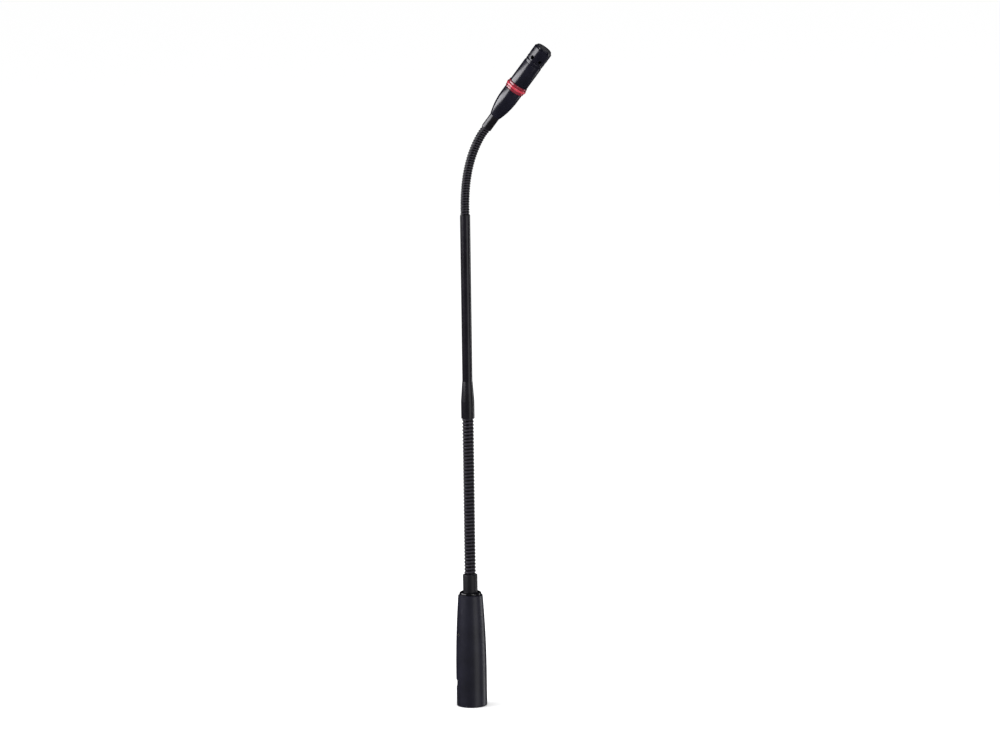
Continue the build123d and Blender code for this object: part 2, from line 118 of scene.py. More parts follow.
lower_turns_per_link = 6
upper_turns_per_link = 4
turns_past_last_pivot = 3

lower_pivots = pivots("lower_")
upper_pivots = pivots("upper_")
nod_axis = Vector(frame["joints"][0]["axis"]).normalized()
head_axis = (box_centre("light_ring") - upper_pivots[-1]).normalized()

lower_pitch = (lower_pivots[1] - lower_pivots[0]).length / lower_turns_per_link
upper_pitch = (upper_pivots[1] - upper_pivots[0]).length / upper_turns_per_link
head_start = upper_pivots[-1] + head_axis * turns_past_last_pivot * upper_pitch


def frame_along(origin, axis):
    """Matrix whose Z runs along axis and whose X lies in the bend plane."""
    z = axis.normalized()
    y = nod_axis
    x = y.cross(z)
    return Matrix.Translation(origin) @ Matrix((x, y, z)).transposed().to_4x4()


upright = frame_along(Vector((0, 0, 0)), UP)
head_frame = frame_along(head_start, head_axis)


# ---- material nodes ----------------------------------------------------------------------------

class Shader:
    """A Principled material with short helpers for its procedural inputs."""

    def __init__(self, name, colour, roughness, metallic=0.0, **sockets):
        self.material = bpy.data.materials.new(name)
        self.material.use_nodes = True
        self.tree = self.material.node_tree
        self.surface = self.tree.nodes["Principled BSDF"]
        self.surface.inputs["Base Color"].default_value = (*colour, 1)
        self.surface.inputs["Roughness"].default_value = roughness
        self.surface.inputs["Metallic"].default_value = metallic
        for socket, value in sockets.items():
            self.surface.inputs[socket.replace("_", " ")].default_value = value
        self.place = self.tree.nodes.new("ShaderNodeTexCoord").outputs["Object"]

    def add(self, kind, **settings):
        node = self.tree.nodes.new(kind)
        for key, value in settings.items():
            setattr(node, key, value)
        return node

    def link(self, source, target):
        self.tree.links.new(source, target)

    def noise(self, scale, detail=3.0):
        """Noise whose cells are about 1 / scale metres."""
        node = self.add("ShaderNodeTexNoise")
        node.inputs["Scale"].default_value = scale
        node.inputs["Detail"].default_value = detail
        self.link(self.place, node.inputs["Vector"])
        return node.outputs["Fac"]

    def ramp(self, source, low, high, spread=0.2):
        """Maps the middle of a noise to the range from low to high."""
        node = self.add("ShaderNodeMapRange")
        node.inputs["From Min"].default_value = 0.5 - spread
        node.inputs["From Max"].default_value = 0.5 + spread
        node.inputs["To Min"].default_value = low
        node.inputs["To Max"].default_value = high
        self.link(source, node.inputs["Value"])
        return node.outputs["Result"]

    def mix(self, factor, colour_a, colour_b):
        node = self.add("ShaderNodeMix", data_type="RGBA")
        self.link(factor, node.inputs["Factor"])
        for socket, colour in (("A", colour_a), ("B", colour_b)):
            target = [i for i in node.inputs if i.name == socket and i.type == "RGBA"][0]
            if isinstance(colour, tuple):
                target.default_value = (*colour, 1)
            else:
                self.link(colour, target)
        return [o for o in node.outputs if o.type == "RGBA"][0]

    def colour(self, source):
        self.link(source, self.surface.inputs["Base Color"])

    def roughness(self, source):
        self.link(source, self.surface.inputs["Roughness"])

    def bump(self, source, depth):
        """Relief of depth metres from a height source."""
        node = self.add("ShaderNodeBump")
        node.inputs["Strength"].default_value = 1.0
        node.inputs["Distance"].default_value = depth
        self.link(source, node.inputs["Height"])
        self.link(node.outputs["Normal"], self.surface.inputs["Normal"])

    def mottled(self, source, colour, darkest, palest):
        """Colour that a noise varies from darkest to palest times its own value."""
        return self.mix(self.ramp(source, 0, 1), scaled(colour, darkest), scaled(colour, palest))

    def skin(self, source, smoothest, roughest, depth):
        """Uneven gloss and a fine relief, both from one noise."""
        self.roughness(self.ramp(source, smoothest, roughest))
        self.bump(source, depth)


def scaled(colour, factor):
    return tuple(channel * factor for channel in colour)


def coated(name, colour, roughness, grain=2600, relief=3e-6):
    """Painted or plated black metal: orange-peel relief, uneven gloss and faint mottling."""
    shader = Shader(name, colour, roughness)
    shader.colour(shader.mottled(shader.noise(120, detail=4), colour, 0.75, 1.25))
    shader.skin(shader.noise(grain, detail=2), roughness - 0.05, roughness + 0.07, relief)
    return shader.material


def wound_wire(name, shaded_groove, crest, roughness):
    """Blackened wire with painted shade where it lies in the groove and a painted highlight along its crest.
    """
    shader = Shader(name, shaded_groove, roughness, Specular_IOR_Level=0.28)
    height = shader.add("ShaderNodeAttribute", attribute_name="crest").outputs["Fac"]
    painted_crest_light = shader.add("ShaderNodeMath", operation="POWER")
    shader.link(height, painted_crest_light.inputs[0])
    painted_crest_light.inputs[1].default_value = 3.0
    # Crest height, cubed, mixes from the painted groove shade to the painted crest highlight.
    shader.colour(shader.mix(painted_crest_light.outputs["Value"], shaded_groove, crest))
    shader.skin(shader.noise(3200, detail=2), roughness - 0.05, roughness + 0.07, 3e-6)
    return shader.material


def worn_enamel(name, colour, roughness):
    """Matte enamel that has rubbed a little on its edges."""
    bare_edge = (0.16, 0.16, 0.17)
    shader = Shader(name, colour, roughness)
    body = shader.mottled(shader.noise(90, detail=5), colour, 0.75, 1.3)
    geometry = shader.add("ShaderNodeNewGeometry")
    edge = shader.add("ShaderNodeMapRange")
    edge.inputs["From Min"].default_value = 0.56
    edge.inputs["From Max"].default_value = 0.66
    edge.inputs["To Max"].default_value = 0.1
    shader.link(geometry.outputs["Pointiness"], edge.inputs["Value"])
    broken = shader.add("ShaderNodeMath", operation="MULTIPLY")
    shader.link(edge.outputs["Result"], broken.inputs[0])
    shader.link(shader.ramp(shader.noise(900, detail=4), 0, 1), broken.inputs[1])
    shader.colour(shader.mix(broken.outputs["Value"], body, bare_edge))
    shader.skin(shader.noise(2200, detail=3), roughness - 0.06, roughness + 0.08, 6e-6)
    return shader.material


def clear_red(name):
    """Tinted clear plastic with faint moulding waves, painted shade in its grooves and a painted highlight
    on its ribs.
    """
    shader = Shader(
        name, (0.2, 0.012, 0.02), 0.2,
        Transmission_Weight=0.1, IOR=1.49, Coat_Weight=0.5, Coat_Roughness=0.12,
        Emission_Strength=0.012,
    )
    shader.surface.inputs["Emission Color"].default_value = (1.0, 0.03, 0.05, 1)
    # Groove colours are painted shade; the rib colour is the ring's red with a painted highlight.
    ring_groove_shade_dark = (0.05, 0.006, 0.012)
    ring_groove_shade_pale = (0.07, 0.008, 0.015)
    rib_highlight = (0.41, 0.032, 0.052)
    waves = shader.noise(700, detail=2)
    body = shader.mix(shader.ramp(waves, 0, 1), ring_groove_shade_dark, ring_groove_shade_pale)
    height = shader.add("ShaderNodeAttribute", attribute_name="crest").outputs["Fac"]
    rib_highlight_share = shader.add("ShaderNodeMapRange", interpolation_type="SMOOTHSTEP")
    rib_highlight_share.inputs["From Min"].default_value = 0.72
    shader.link(height, rib_highlight_share.inputs["Value"])
    shader.colour(shader.mix(rib_highlight_share.outputs["Result"], body, rib_highlight))
    shader.bump(waves, 2e-6)
    return shader.material


def bare_metal(name, colour, roughness):
    """Plain metal with fine turning marks."""
    shader = Shader(name, colour, roughness, metallic=1.0)
    marks = shader.noise(4000, detail=2)
    shader.colour(shader.mottled(marks, colour, 0.85, 1.0))
    shader.skin(marks, roughness - 0.06, roughness + 0.1, 2e-6)
    return shader.material


def moulded(name, colour, roughness):
    """Moulded plastic or rubber with a fine skin texture."""
    shader = Shader(name, colour, roughness)
    fine = shader.noise(1500, detail=3)
    shader.colour(shader.mottled(fine, colour, 0.85, 1.15))
    shader.skin(fine, roughness - 0.05, roughness + 0.08, 5e-6)
    return shader.material


def open_foam(name, colour):
    """Open-cell foam: deep round cells, painted darker in their pits as painted shade."""
    shader = Shader(name, colour, 0.95)
    cells = shader.add("ShaderNodeTexVoronoi")
    cells.inputs["Scale"].default_value = 2600
    shader.link(shader.place, cells.inputs["Vector"])
    depth = shader.ramp(cells.outputs["Distance"], 0, 1, spread=0.4)
    # Painted shade: each cell's pit darkens to three tenths of the foam colour.
    shader.colour(shader.mix(depth, scaled(colour, 0.3), colour))
    shader.bump(cells.outputs["Distance"], 1.2e-4)
    return shader.material


def circuit(name):
    """Green solder resist with paler copper lines under it."""
    resist = (0.02, 0.14, 0.05)
    resist_over_copper = (0.05, 0.26, 0.1)
    shader = Shader(name, resist, 0.3)
    lines = shader.add("ShaderNodeTexWave", wave_type="BANDS", bands_direction="Z")
    lines.inputs["Scale"].default_value = 260
    lines.inputs["Distortion"].default_value = 6
    shader.link(shader.place, lines.inputs["Vector"])
    copper = shader.ramp(lines.outputs["Fac"], 0, 1, spread=0.05)
    shader.colour(shader.mix(copper, resist, resist_over_copper))
    shader.bump(lines.outputs["Fac"], 2e-5)
    return shader.material


materials = {
    "shell_black": worn_enamel("shell_enamel", (0.0070, 0.0070, 0.0135), 0.36),
    "bright_steel": bare_metal("screw_steel", (0.62, 0.62, 0.6), 0.3),
    "insert_plastic": moulded("insert_moulding", (0.014, 0.014, 0.015), 0.45),
    "contact_metal": bare_metal("contact_silver", (0.8, 0.79, 0.76), 0.18),
    "lead_insulation": moulded("lead_sleeve", (0.5, 0.03, 0.02), 0.4),
    "circuit_board": circuit("board_resist"),
    "capacitor_can": bare_metal("capacitor_can", (0.6, 0.61, 0.63), 0.25),
    "chip_black": moulded("chip_moulding", (0.02, 0.02, 0.021), 0.5),
    "gloss_black": coated("gland_gloss", (0.004, 0.004, 0.005), 0.13, relief=1e-6),
    "collar_black": coated("collar_satin", (0.0034, 0.0030, 0.0064), 0.46),
    # Coil wire colours: painted shade in the grooves, painted highlight on the crests.
    "coil_wire": wound_wire("coil_satin", (0.0016, 0.0014, 0.002), (0.021, 0.019, 0.025), 0.22),
    "cable_jacket": moulded("cable_jacket", (0.015, 0.015, 0.015), 0.5),
    "ferrule_black": coated("ferrule_satin", (0.0055, 0.0048, 0.0070), 0.29),
    "stem_black": coated("stem_satin", (0.0060, 0.0052, 0.0078), 0.22),
    "head_black": coated("head_semigloss", (0.0062, 0.0060, 0.0108), 0.2),
    "light_red": clear_red("light_ring_red"),
    "lamp_lens": moulded("lamp_lens", (0.8, 0.3, 0.25), 0.2),
    "gasket_rubber": moulded("gasket_rubber", (0.02, 0.02, 0.02), 0.7),
    "capsule_can": bare_metal("capsule_can", (0.6, 0.6, 0.6), 0.3),
    "foam_black": open_foam("foam_cells", (0.02, 0.02, 0.021)),
    "grille_black": coated("grille_wire", (0.035, 0.035, 0.04), 0.32, grain=4000),
}

for subpart in frame["record"]["subparts"]:
    cad_object = frame["nodes"][subpart["node"]]
    cad_object.data.materials.clear()
    cad_object.data.materials.append(materials[subpart["material_slot"]])


# ---- mesh helpers ------------------------------------------------------------------------------

def piece_from(name, points, faces, slot, sharp_angle=32):
    """Mesh object, smooth except where faces meet at more than sharp_angle degrees."""
    mesh = bpy.data.meshes.new(name)
    mesh.from_pydata(points, [], faces)
    shape = bmesh.new()
    shape.from_mesh(mesh)
    bmesh.ops.recalc_face_normals(shape, faces=shape.faces)
    shape.to_mesh(mesh)
    shape.free()
    mesh.polygons.foreach_set("use_smooth", [True] * len(mesh.polygons))
    mesh.set_sharp_from_angle(angle=radians(sharp_angle))
    mesh.materials.append(materials[slot])
    piece = bpy.data.objects.new(name, mesh)
    bpy.context.scene.collection.objects.link(piece)
    return piece


arc_steps = 5


def softened(corners):
    """Closed (radius, height, rounding) outline with each rounded corner turned into an arc."""
    outline = []
    count = len(corners)
    for index, (radius, height, rounding) in enumerate(corners):
        here = Vector((radius, height))
        if rounding == 0:
            outline.append(here)
            continue
        before = Vector(corners[index - 1][:2]) - here
        after = Vector(corners[(index + 1) % count][:2]) - here
        half_angle = before.angle(after) / 2
        setback = rounding / tan(half_angle)
        start = here + before.normalized() * setback
        end = here + after.normalized() * setback
        bisector = (before.normalized() + after.normalized()).normalized()
        centre = here + bisector * (rounding / sin(half_angle))
        first = start - centre
        sweep = first.angle_signed(end - centre)
        for step in range(arc_steps + 1):
            turned_by = -sweep * step / arc_steps
            outline.append(centre + Matrix.Rotation(turned_by, 2) @ first)
    return outline


def lathe(name, corners, slot, place, body, replaced, segments=128):
    """Solid of revolution from a closed outline in millimetres, in place of a CAD node."""
    outline = softened(corners)
    rows = len(outline)
    points = []
    for step in range(segments):
        turn = 2 * pi * step / segments
        for corner in outline:
            radius, height = corner * MM
            points.append(place @ Vector((radius * cos(turn), radius * sin(turn), height)))
    faces = []
    for step in range(segments):
        near = step * rows
        far = (step + 1) % segments * rows
        for row in range(rows):
            after = (row + 1) % rows
            faces.append((near + row, near + after, far + after, far + row))
    piece = piece_from(name, points, faces, slot)
    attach(piece, body)
    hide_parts(replaced)
    return piece


# ---- centre lines and what is wound or drawn along them ----------------------------------------

class CentreLine:
    """Smooth curve through points, which runs on straight past both ends."""

    def __init__(self, points, first_direction, last_direction):
        self.points = points
        spans = [b - a for a, b in zip(points, points[1:])]
        self.marks = [0.0]
        for span in spans:
            self.marks.append(self.marks[-1] + span.length)
        middle = [(a.normalized() + b.normalized()).normalized() for a, b in zip(spans, spans[1:])]
        self.directions = [first_direction] + middle + [last_direction]

    def length(self):
        return self.marks[-1]

    def at(self, distance):
        """(point, direction) at a distance along the line."""
        if distance <= 0:
            return self.points[0] + self.directions[0] * distance, self.directions[0]
        if distance >= self.length():
            beyond = distance - self.length()
            return self.points[-1] + self.directions[-1] * beyond, self.directions[-1]
        span = max(i for i, mark in enumerate(self.marks[:-1]) if mark <= distance)
        run = self.marks[span + 1] - self.marks[span]
        t = (distance - self.marks[span]) / run
        a, b = self.points[span], self.points[span + 1]
        slope_a, slope_b = self.directions[span] * run, self.directions[span + 1] * run
        point = (
            a * (2 * t ** 3 - 3 * t ** 2 + 1) + slope_a * (t ** 3 - 2 * t ** 2 + t)
            + b * (3 * t ** 2 - 2 * t ** 3) + slope_b * (t ** 3 - t ** 2)
        )
        direction = (
            (b - a) * (6 * t - 6 * t ** 2) + slope_a * (3 * t ** 2 - 4 * t + 1)
            + slope_b * (3 * t ** 2 - 2 * t)
        )
        return point, direction.normalized()


def tube_faces(first, rings, sides):
    """Faces of a tube with flat ends, whose points start at index first and run ring by ring."""
    last = first + (rings - 1) * sides
    faces = [
        (near + side, near + (side + 1) % sides, near + sides + (side + 1) % sides, near + sides + side)
        for near in range(first, last, sides)
        for side in range(sides)
    ]
    faces.append(tuple(reversed(range(first, first + sides))))
    faces.append(tuple(range(last, last + sides)))
    return faces


def swept(name, rings, slot, sharp_angle=32):
    """Closed tube through rings of points, with flat ends."""
    points = [point for ring in rings for point in ring]
    return piece_from(name, points, tube_faces(0, len(rings), len(rings[0])), slot, sharp_angle)


coil_steps_per_turn = 40


def coil_rings(line, start, end, pitch, section, phase):
    """Rings of a right-handed coil whose section is (radius, offset along the neck) points."""
    steps = max(2, round((end - start) / pitch * coil_steps_per_turn))
    rings = []
    for step in range(steps + 1):
        distance = start + (end - start) * step / steps
        turn = 2 * pi * (distance / pitch + phase)
        ring = []
        for radius, offset in section:
            point, direction = line.at(distance + offset)
            outward = nod_axis.cross(direction) * cos(turn) + nod_axis * sin(turn)
            ring.append(point + outward * radius)
        rings.append(ring)
    return rings


def round_section(middle_radius, wire_radius, sides=14):
    turns = [2 * pi * side / sides for side in range(sides)]
    return [(middle_radius + wire_radius * cos(turn), wire_radius * sin(turn)) for turn in turns]


def wedge_section(outer_radius, depth, width):
    """Triangular wire with a rounded back that faces outwards."""
    half = width / 2
    return [
        (outer_radius - depth, 0.0),
        (outer_radius - 0.22 * depth, half),
        (outer_radius - 0.06 * depth, 0.72 * half),
        (outer_radius, 0.25 * half),
        (outer_radius, -0.25 * half),
        (outer_radius - 0.06 * depth, -0.72 * half),
        (outer_radius - 0.22 * depth, -half),
    ]


cable_radius = 1.0 * MM
cable_step = 1.0 * MM
cable_sides = 16
cable_overlap = 1.0 * MM


def cable_rings(line, start, end):
    steps = max(2, round((end - start) / cable_step))
    turns = [2 * pi * side / cable_sides for side in range(cable_sides)]
    rings = []
    for step in range(steps + 1):
        point, direction = line.at(start + (end - start) * step / steps)
        across = nod_axis.cross(direction)
        rings.append([point + (across * cos(turn) + nod_axis * sin(turn)) * cable_radius for turn in turns])
    return rings


def straight_cable(name, line, start, end, body):
    """Length of the cable that doesn't bend, because it lies within one body."""
    cable = swept(name, cable_rings(line, start, end), "cable_jacket")
    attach(cable, body)
    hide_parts("signal_cable")


wire_tuck = 1.2 * MM
bending_share = 0.46


def neck_spans(line, chain, pivot_marks):
    """(start, end, first body, second body, blend start, blend end) of each flexible length.

    The first and last lengths run on by wire_tuck into the mouths that hold them.  A length's blend
    start and end lie on either side of its pivot, bending_share of the distance between pivots away.
    """
    middles = [(a + b) / 2 for a, b in zip(pivot_marks, pivot_marks[1:])]
    cuts = [-wire_tuck] + middles + [line.length() + wire_tuck]
    reach = bending_share * (pivot_marks[1] - pivot_marks[0])
    spans = []
    for index, pivot in enumerate(pivot_marks):
        low, high = line.at(pivot - reach)[0], line.at(pivot + reach)[0]
        spans.append((cuts[index], cuts[index + 1], chain[index], chain[index + 1], low, high))
    return spans


def mark_crest(piece, section):
    """Stores on each point how far out it lies on its section: 0 innermost, 1 on the crest.  The coil and
    ring materials use it to paint shade in the grooves and a highlight on the crests.
    """
    radii = [radius for radius, _ in section]
    inner, span = min(radii), max(radii) - min(radii)
    heights = [(radius - inner) / span for radius in radii]
    rings = len(piece.data.vertices) // len(section)
    piece.data.attributes.new("crest", "FLOAT", "POINT").data.foreach_set("value", heights * rings)


def flexible_neck(prefix, line, pitch, round_wire, wedge_wire):
    """Coil, wedge wire and cable of one neck, one piece of each per pivot, swept along the neck's centre
    line.
    """
    pivot_marks = line.marks[1:-1]
    replaced = [[f"{prefix}_coil_root"]] + [[f"{prefix}_coil_{n}"] for n in range(1, len(pivot_marks))]
    replaced[-1].append(f"{prefix}_coil_end")
    spans = neck_spans(line, chain_bodies(f"{prefix}_"), pivot_marks)
    for index, (start, end, body_a, body_b, low, high) in enumerate(spans):
        coil = swept(
            f"{prefix}_round_wire_{index + 1}",
            coil_rings(line, start, end, pitch, round_wire, phase=0.0), "coil_wire",
        )
        mark_crest(coil, round_wire)
        # The wedge wire carries no crest attribute, so it takes the painted groove shade all over.
        wedge = swept(
            f"{prefix}_wedge_wire_{index + 1}",
            coil_rings(line, start, end, pitch, wedge_wire, phase=0.5), "coil_wire", sharp_angle=50,
        )
        cable = swept(f"{prefix}_cable_{index + 1}", cable_rings(line, start, end), "cable_jacket")
        for piece in (coil, wedge, cable):
            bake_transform(piece)
        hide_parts(*replaced[index])
        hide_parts("signal_cable")


# ---- mouths that take the ends of the coils, and the way for the cable between them ------------

cable_way_mm = 1.6
mouth_depth_mm = 1.3
lower_mouth_mm = 3.62
upper_mouth_mm = 2.86


# ---- plug --------------------------------------------------------------------------------------

def gland_and_collar():
    spigot_low_mm, ring_top_mm = span_mm("gland_ring")
    seat_mm = span_mm("plug_shell")[1]
    bore_mm = 4.55
    spigot_mm = 5.1
    foot_mm = 6.5
    ring_mm = 6.8
    inner_lip_mm = 4.9
    foot_low_mm = seat_mm + 0.02
    ring_low_mm = seat_mm + 0.3
    lip_low_mm = ring_top_mm - 0.5
    lathe(
        "gland_ring_gloss",
        [(bore_mm, spigot_low_mm, 0), (spigot_mm, spigot_low_mm, 0.1), (spigot_mm, foot_low_mm, 0),
         (foot_mm, foot_low_mm, 0.05), (foot_mm, ring_low_mm, 0.08), (ring_mm, ring_low_mm, 0.12),
         (ring_mm, ring_top_mm, 1.2), (inner_lip_mm, ring_top_mm, 0.3), (inner_lip_mm, lip_low_mm, 0.05),
         (bore_mm, lip_low_mm, 0)],
        "gloss_black", upright, "plug", "gland_ring",
    )
    low_mm, high_mm = span_mm("neck_collar")
    collar_mm = 4.525
    mouth_low_mm = high_mm - mouth_depth_mm
    lathe(
        "neck_collar_turned",
        [(cable_way_mm, low_mm, 0), (collar_mm, low_mm, 0.1), (collar_mm, high_mm, 0.4),
         (lower_mouth_mm, high_mm, 0.12), (lower_mouth_mm, mouth_low_mm, 0),
         (cable_way_mm, mouth_low_mm, 0)],
        "collar_black", upright, "plug", "neck_collar",
    )


# ---- stem --------------------------------------------------------------------------------------

def stem():
    low_mm, high_mm = span_mm("reducer_ferrule")
    reducer_mm = 4.125
    tip_mm = 3.22
    seat_mm = 3.14
    taper_low_mm = low_mm + 10.6
    seat_low_mm = low_mm + 11.0
    mouth_high_mm = low_mm + mouth_depth_mm
    lathe(
        "reducer_turned",
        [(cable_way_mm, mouth_high_mm, 0), (lower_mouth_mm, mouth_high_mm, 0), (lower_mouth_mm, low_mm, 0.1),
         (reducer_mm, low_mm, 0.18), (reducer_mm, taper_low_mm, 6.0), (tip_mm, high_mm, 0.12),
         (seat_mm, high_mm, 0), (seat_mm, seat_low_mm, 0), (cable_way_mm, seat_low_mm, 0)],
        "ferrule_black", upright, "stem", "reducer_ferrule",
    )
    tube_low_mm, tube_high_mm = span_mm("stem_tube")
    tube_mm = 3.12
    tube_bore_mm = 2.5
    mouth_low_mm = tube_high_mm - mouth_depth_mm
    lathe(
        "stem_tube_drawn",
        [(tube_bore_mm, tube_low_mm, 0), (tube_mm, tube_low_mm, 0), (tube_mm, tube_high_mm, 0.28),
         (upper_mouth_mm, tube_high_mm, 0.06), (upper_mouth_mm, mouth_low_mm, 0),
         (tube_bore_mm, mouth_low_mm, 0)],
        "stem_black", upright, "stem", "stem_tube",
    )
    line = CentreLine([bottom_of("reducer_ferrule"), top_of("stem_tube")], UP, UP)
    straight_cable("stem_cable", line, -cable_overlap, line.length() + cable_overlap, "stem")


# ---- necks -------------------------------------------------------------------------------------

def lower_neck():
    line = CentreLine([top_of("neck_collar")] + lower_pivots + [bottom_of("reducer_ferrule")], UP, UP)
    round_wire = round_section(2.88 * MM, 0.72 * MM)
    wedge_wire = wedge_section(3.12 * MM, 0.92 * MM, 1.3 * MM)
    flexible_neck("lower", line, lower_pitch, round_wire, wedge_wire)


def upper_neck():
    line = CentreLine([top_of("stem_tube")] + upper_pivots + [head_start], UP, head_axis)
    round_wire = round_section(2.28 * MM, 0.55 * MM, sides=12)
    wedge_wire = wedge_section(2.44 * MM, 0.67 * MM, 0.95 * MM)
    flexible_neck("upper", line, upper_pitch, round_wire, wedge_wire)


# ---- head, in millimetres along its own axis from the lower edge of its ferrule ----------------

ferrule_end_mm = 9.5
light_low_mm = 29.6
light_high_mm = 34.6
joint_low_mm = 49.7
joint_high_mm = 52.5
rim_high_mm = 61.8
head_radius_mm = 5.9
head_seat_mm = 5.1
head_bore_mm = 4.5
light_spigot_length_mm = 2


def cone_outline():
    """Outer corners of the tail cone, on one arc that meets the straight part smoothly."""
    arc_top_mm = 24.8
    tip_radius_mm = 3.4
    rise = arc_top_mm - ferrule_end_mm
    drop = head_radius_mm - tip_radius_mm
    arc_radius = (rise ** 2 + drop ** 2) / (2 * drop)
    steps = 18
    corners = []
    for step in range(steps + 1):
        below = rise * (1 - step / steps)
        radius = head_radius_mm - arc_radius + sqrt(arc_radius ** 2 - below ** 2)
        corners.append((radius, arc_top_mm - below, 0.12 if step == 0 else 0))
    return corners


def head_housings():
    ferrule_mm = 3.17
    tail_bore_mm = 1.3
    ferrule_high_mm = ferrule_end_mm + 0.6
    lathe(
        "head_ferrule_turned",
        [(upper_mouth_mm, 0, 0.05), (ferrule_mm, 0, 0.14), (ferrule_mm, ferrule_high_mm, 0),
         (tail_bore_mm, ferrule_high_mm, 0), (tail_bore_mm, mouth_depth_mm, 0),
         (upper_mouth_mm, mouth_depth_mm, 0)],
        "ferrule_black", head_frame, "head", "head_ferrule", segments=96,
    )
    tail_mouth_mm = 2.4
    light_seat_low_mm = light_low_mm - light_spigot_length_mm
    lathe(
        "tail_cone_turned",
        [(tail_mouth_mm, ferrule_end_mm, 0)] + cone_outline()
        + [(head_radius_mm, light_low_mm, 0.18), (head_seat_mm, light_low_mm, 0),
           (head_seat_mm, light_seat_low_mm, 0), (4.4, light_seat_low_mm, 0), (4.2, 20.0, 0),
           (tail_mouth_mm, ferrule_end_mm + 3, 0)],
        "head_black", head_frame, "head", "tail_cone",
    )
    light_seat_high_mm = light_high_mm + 2.4
    joint_seat_low_mm = joint_low_mm - 3
    lathe(
        "barrel_turned",
        [(head_seat_mm, light_high_mm, 0), (head_radius_mm, light_high_mm, 0.18),
         (head_radius_mm, joint_low_mm, 0.2), (head_seat_mm, joint_low_mm, 0),
         (head_seat_mm, joint_seat_low_mm, 0), (head_bore_mm, joint_seat_low_mm, 0),
         (head_bore_mm, light_seat_high_mm, 0), (head_seat_mm, light_seat_high_mm, 0)],
        "head_black", head_frame, "head", "barrel",
    )
    spigot_mm = 5.05
    groove_mm = 5.52
    land_mm = 5.78
    land_low_mm = joint_low_mm + 1.0
    land_high_mm = joint_high_mm - 0.7
    spigot_low_mm = joint_low_mm - 2.8
    spigot_high_mm = joint_high_mm + 0.5
    lathe(
        "capsule_joint_turned",
        [(head_bore_mm, spigot_low_mm, 0), (spigot_mm, spigot_low_mm, 0),
         (spigot_mm, joint_low_mm, 0), (groove_mm, joint_low_mm, 0), (groove_mm, land_low_mm, 0.08),
         (land_mm, land_low_mm, 0.16), (land_mm, land_high_mm, 0.16), (groove_mm, land_high_mm, 0.08),
         (groove_mm, joint_high_mm, 0), (spigot_mm, joint_high_mm, 0),
         (spigot_mm, spigot_high_mm, 0), (head_bore_mm, spigot_high_mm, 0)],
        "head_black", head_frame, "head", "capsule_joint",
    )
    rim_mm = 5.07
    rim_bore_mm = 4.45
    rim_low_mm = rim_high_mm - 2.3
    lathe(
        "grille_rim_turned",
        [(rim_bore_mm, rim_low_mm, 0), (rim_mm, rim_low_mm, 0), (rim_mm, rim_high_mm, 0.3),
         (rim_bore_mm, rim_high_mm, 0.2)],
        "head_black", head_frame, "head", "grille_rim",
    )


def light_ring():
    """Clear ring with three rounded ribs, the middle one the largest."""
    low, high = light_low_mm, light_high_mm
    middle = (low + high) / 2
    spigot_low = low - light_spigot_length_mm
    spigot_high = high + light_spigot_length_mm
    spigot_mm = 5.0
    edge_mm = 6.0
    side_rib_mm = 6.28
    groove_mm = 6.08
    middle_rib_mm = 6.66
    corners = [
        (head_bore_mm, spigot_low, 0), (spigot_mm, spigot_low, 0), (spigot_mm, low, 0), (edge_mm, low, 0.1),
        (side_rib_mm, low + 0.35, 0.3), (side_rib_mm, middle - 1.0, 0.28), (groove_mm, middle - 0.86, 0.1),
        (middle_rib_mm, middle - 0.6, 0.4), (middle_rib_mm, middle + 0.6, 0.4),
        (groove_mm, middle + 0.86, 0.1), (side_rib_mm, middle + 1.0, 0.28),
        (side_rib_mm, high - 0.35, 0.3), (edge_mm, high, 0.1), (spigot_mm, high, 0),
        (spigot_mm, spigot_high, 0), (head_bore_mm, spigot_high, 0),
    ]
    ring = lathe("light_ring_clear", corners, "light_red", head_frame, "head", "light_ring", segments=160)
    # The crest values place the ring's painted groove shade and painted rib highlight.
    mark_crest(ring, softened(corners))


def woven_wires(radius_mm, height_mm, pitch_mm, wire_mm):
    """Points and faces of a plain weave trimmed to a disc."""
    sides = 6
    steps_per_pitch = 2
    crimp = 0.55
    turns = [2 * pi * side / sides for side in range(sides)]
    count = int(radius_mm / pitch_mm)
    points, faces = [], []
    for across in (0, 1):
        for index in range(-count, count + 1):
            offset = index * pitch_mm
            half = sqrt(max(radius_mm ** 2 - offset ** 2, 0))
            if half < pitch_mm:
                continue
            steps = max(2, round(steps_per_pitch * 2 * half / pitch_mm))
            first = len(points)
            for step in range(steps + 1):
                along = -half + 2 * half * step / steps
                over = cos(pi * along / pitch_mm) * (1 if (index + across) % 2 else -1)
                centre = Vector((along, offset, height_mm + over * wire_mm * crimp))
                for turn in turns:
                    spot = centre + Vector((0, cos(turn), sin(turn))) * wire_mm / 2
                    if across:
                        spot = Vector((spot.y, spot.x, spot.z))
                    points.append(head_frame @ (spot * MM))
            wire = tube_faces(first, steps + 1, sides)
            faces += [tuple(reversed(face)) for face in wire] if across else wire
    return points, faces


def grille():
    points, faces = woven_wires(radius_mm=4.46, height_mm=rim_high_mm - 0.42, pitch_mm=0.44, wire_mm=0.17)
    mesh = piece_from("grille_weave", points, faces, "grille_black", sharp_angle=80)
    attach(mesh, "head")
    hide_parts("grille_mesh")


def head_cable():
    """End of the cable from the upper neck up to the lamp board."""
    lamp_board = head_start + head_axis * (light_low_mm - 3) * MM
    line = CentreLine([head_start, lamp_board], head_axis, head_axis)
    straight_cable("head_cable", line, cable_overlap, line.length(), "head")


def plug_cable():
    """Start of the cable from the preamplifier board up to the lower neck."""
    above_board = top_of("preamp_board") + UP * 2.5 * MM
    line = CentreLine([above_board, top_of("neck_collar")], UP, UP)
    straight_cable("plug_cable", line, 0, line.length() - cable_overlap, "plug")


